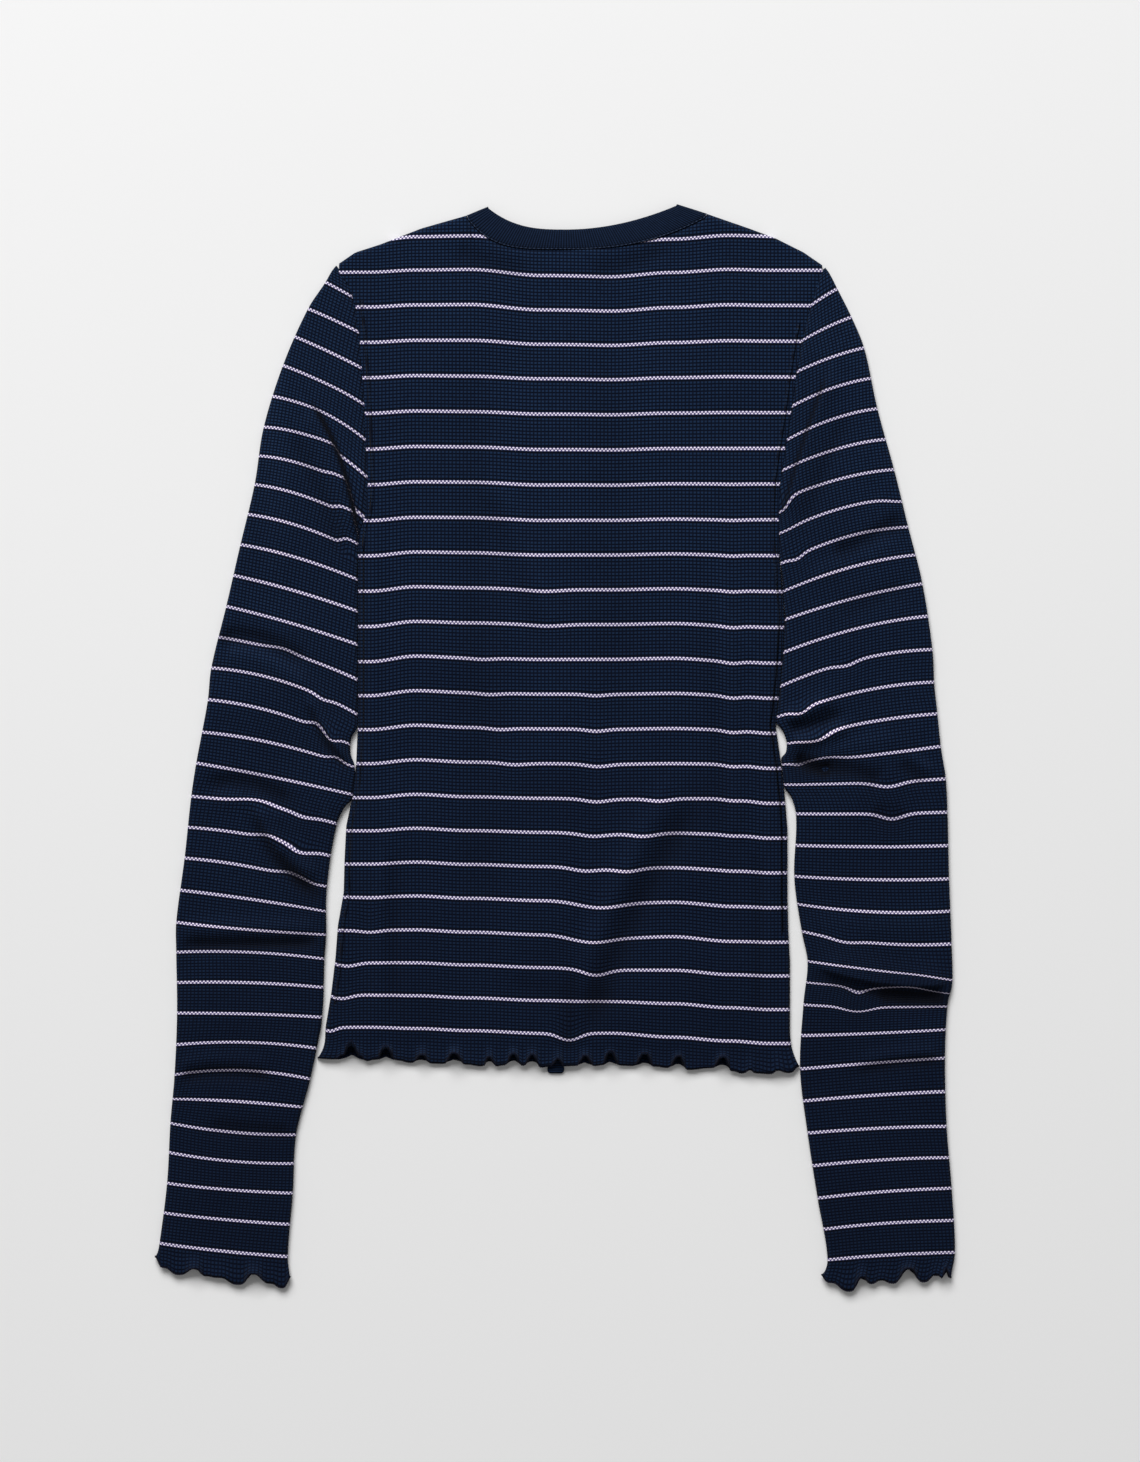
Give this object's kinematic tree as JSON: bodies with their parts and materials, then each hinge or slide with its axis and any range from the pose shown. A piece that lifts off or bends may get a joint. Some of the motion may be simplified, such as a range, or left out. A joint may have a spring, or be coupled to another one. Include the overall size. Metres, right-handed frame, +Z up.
{
  "type": "thermal top laid flat",
  "caption": "Long-sleeved waffle-knit thermal top lying on its front: slim body, set-in sleeves, narrow neck band, full front placket and wavy overlocked hem and cuffs.",
  "frame": {"origin": "on the surface the top lies on, under the middle of its outline, beside the placket half way between hem and neck", "axes": "+Y from the hem to the neck, +X towards the wearer's right sleeve, +Z up, out of the back of the laid garment"},
  "size_m": [0.4799, 0.6464, 0.0077],
  "materials": {
    "knit": "matte waffle knit in navy with fine lilac stripes",
    "band": "matte fine knit in plain navy"
  },
  "bodies": {
    "root": {"back": "knit", "front_left": "knit", "front_right": "knit", "sleeve_left": "knit", "sleeve_right": "knit", "neck_band": "band", "placket_over": "band", "placket_under": "band"}
  },
  "joints": []
}
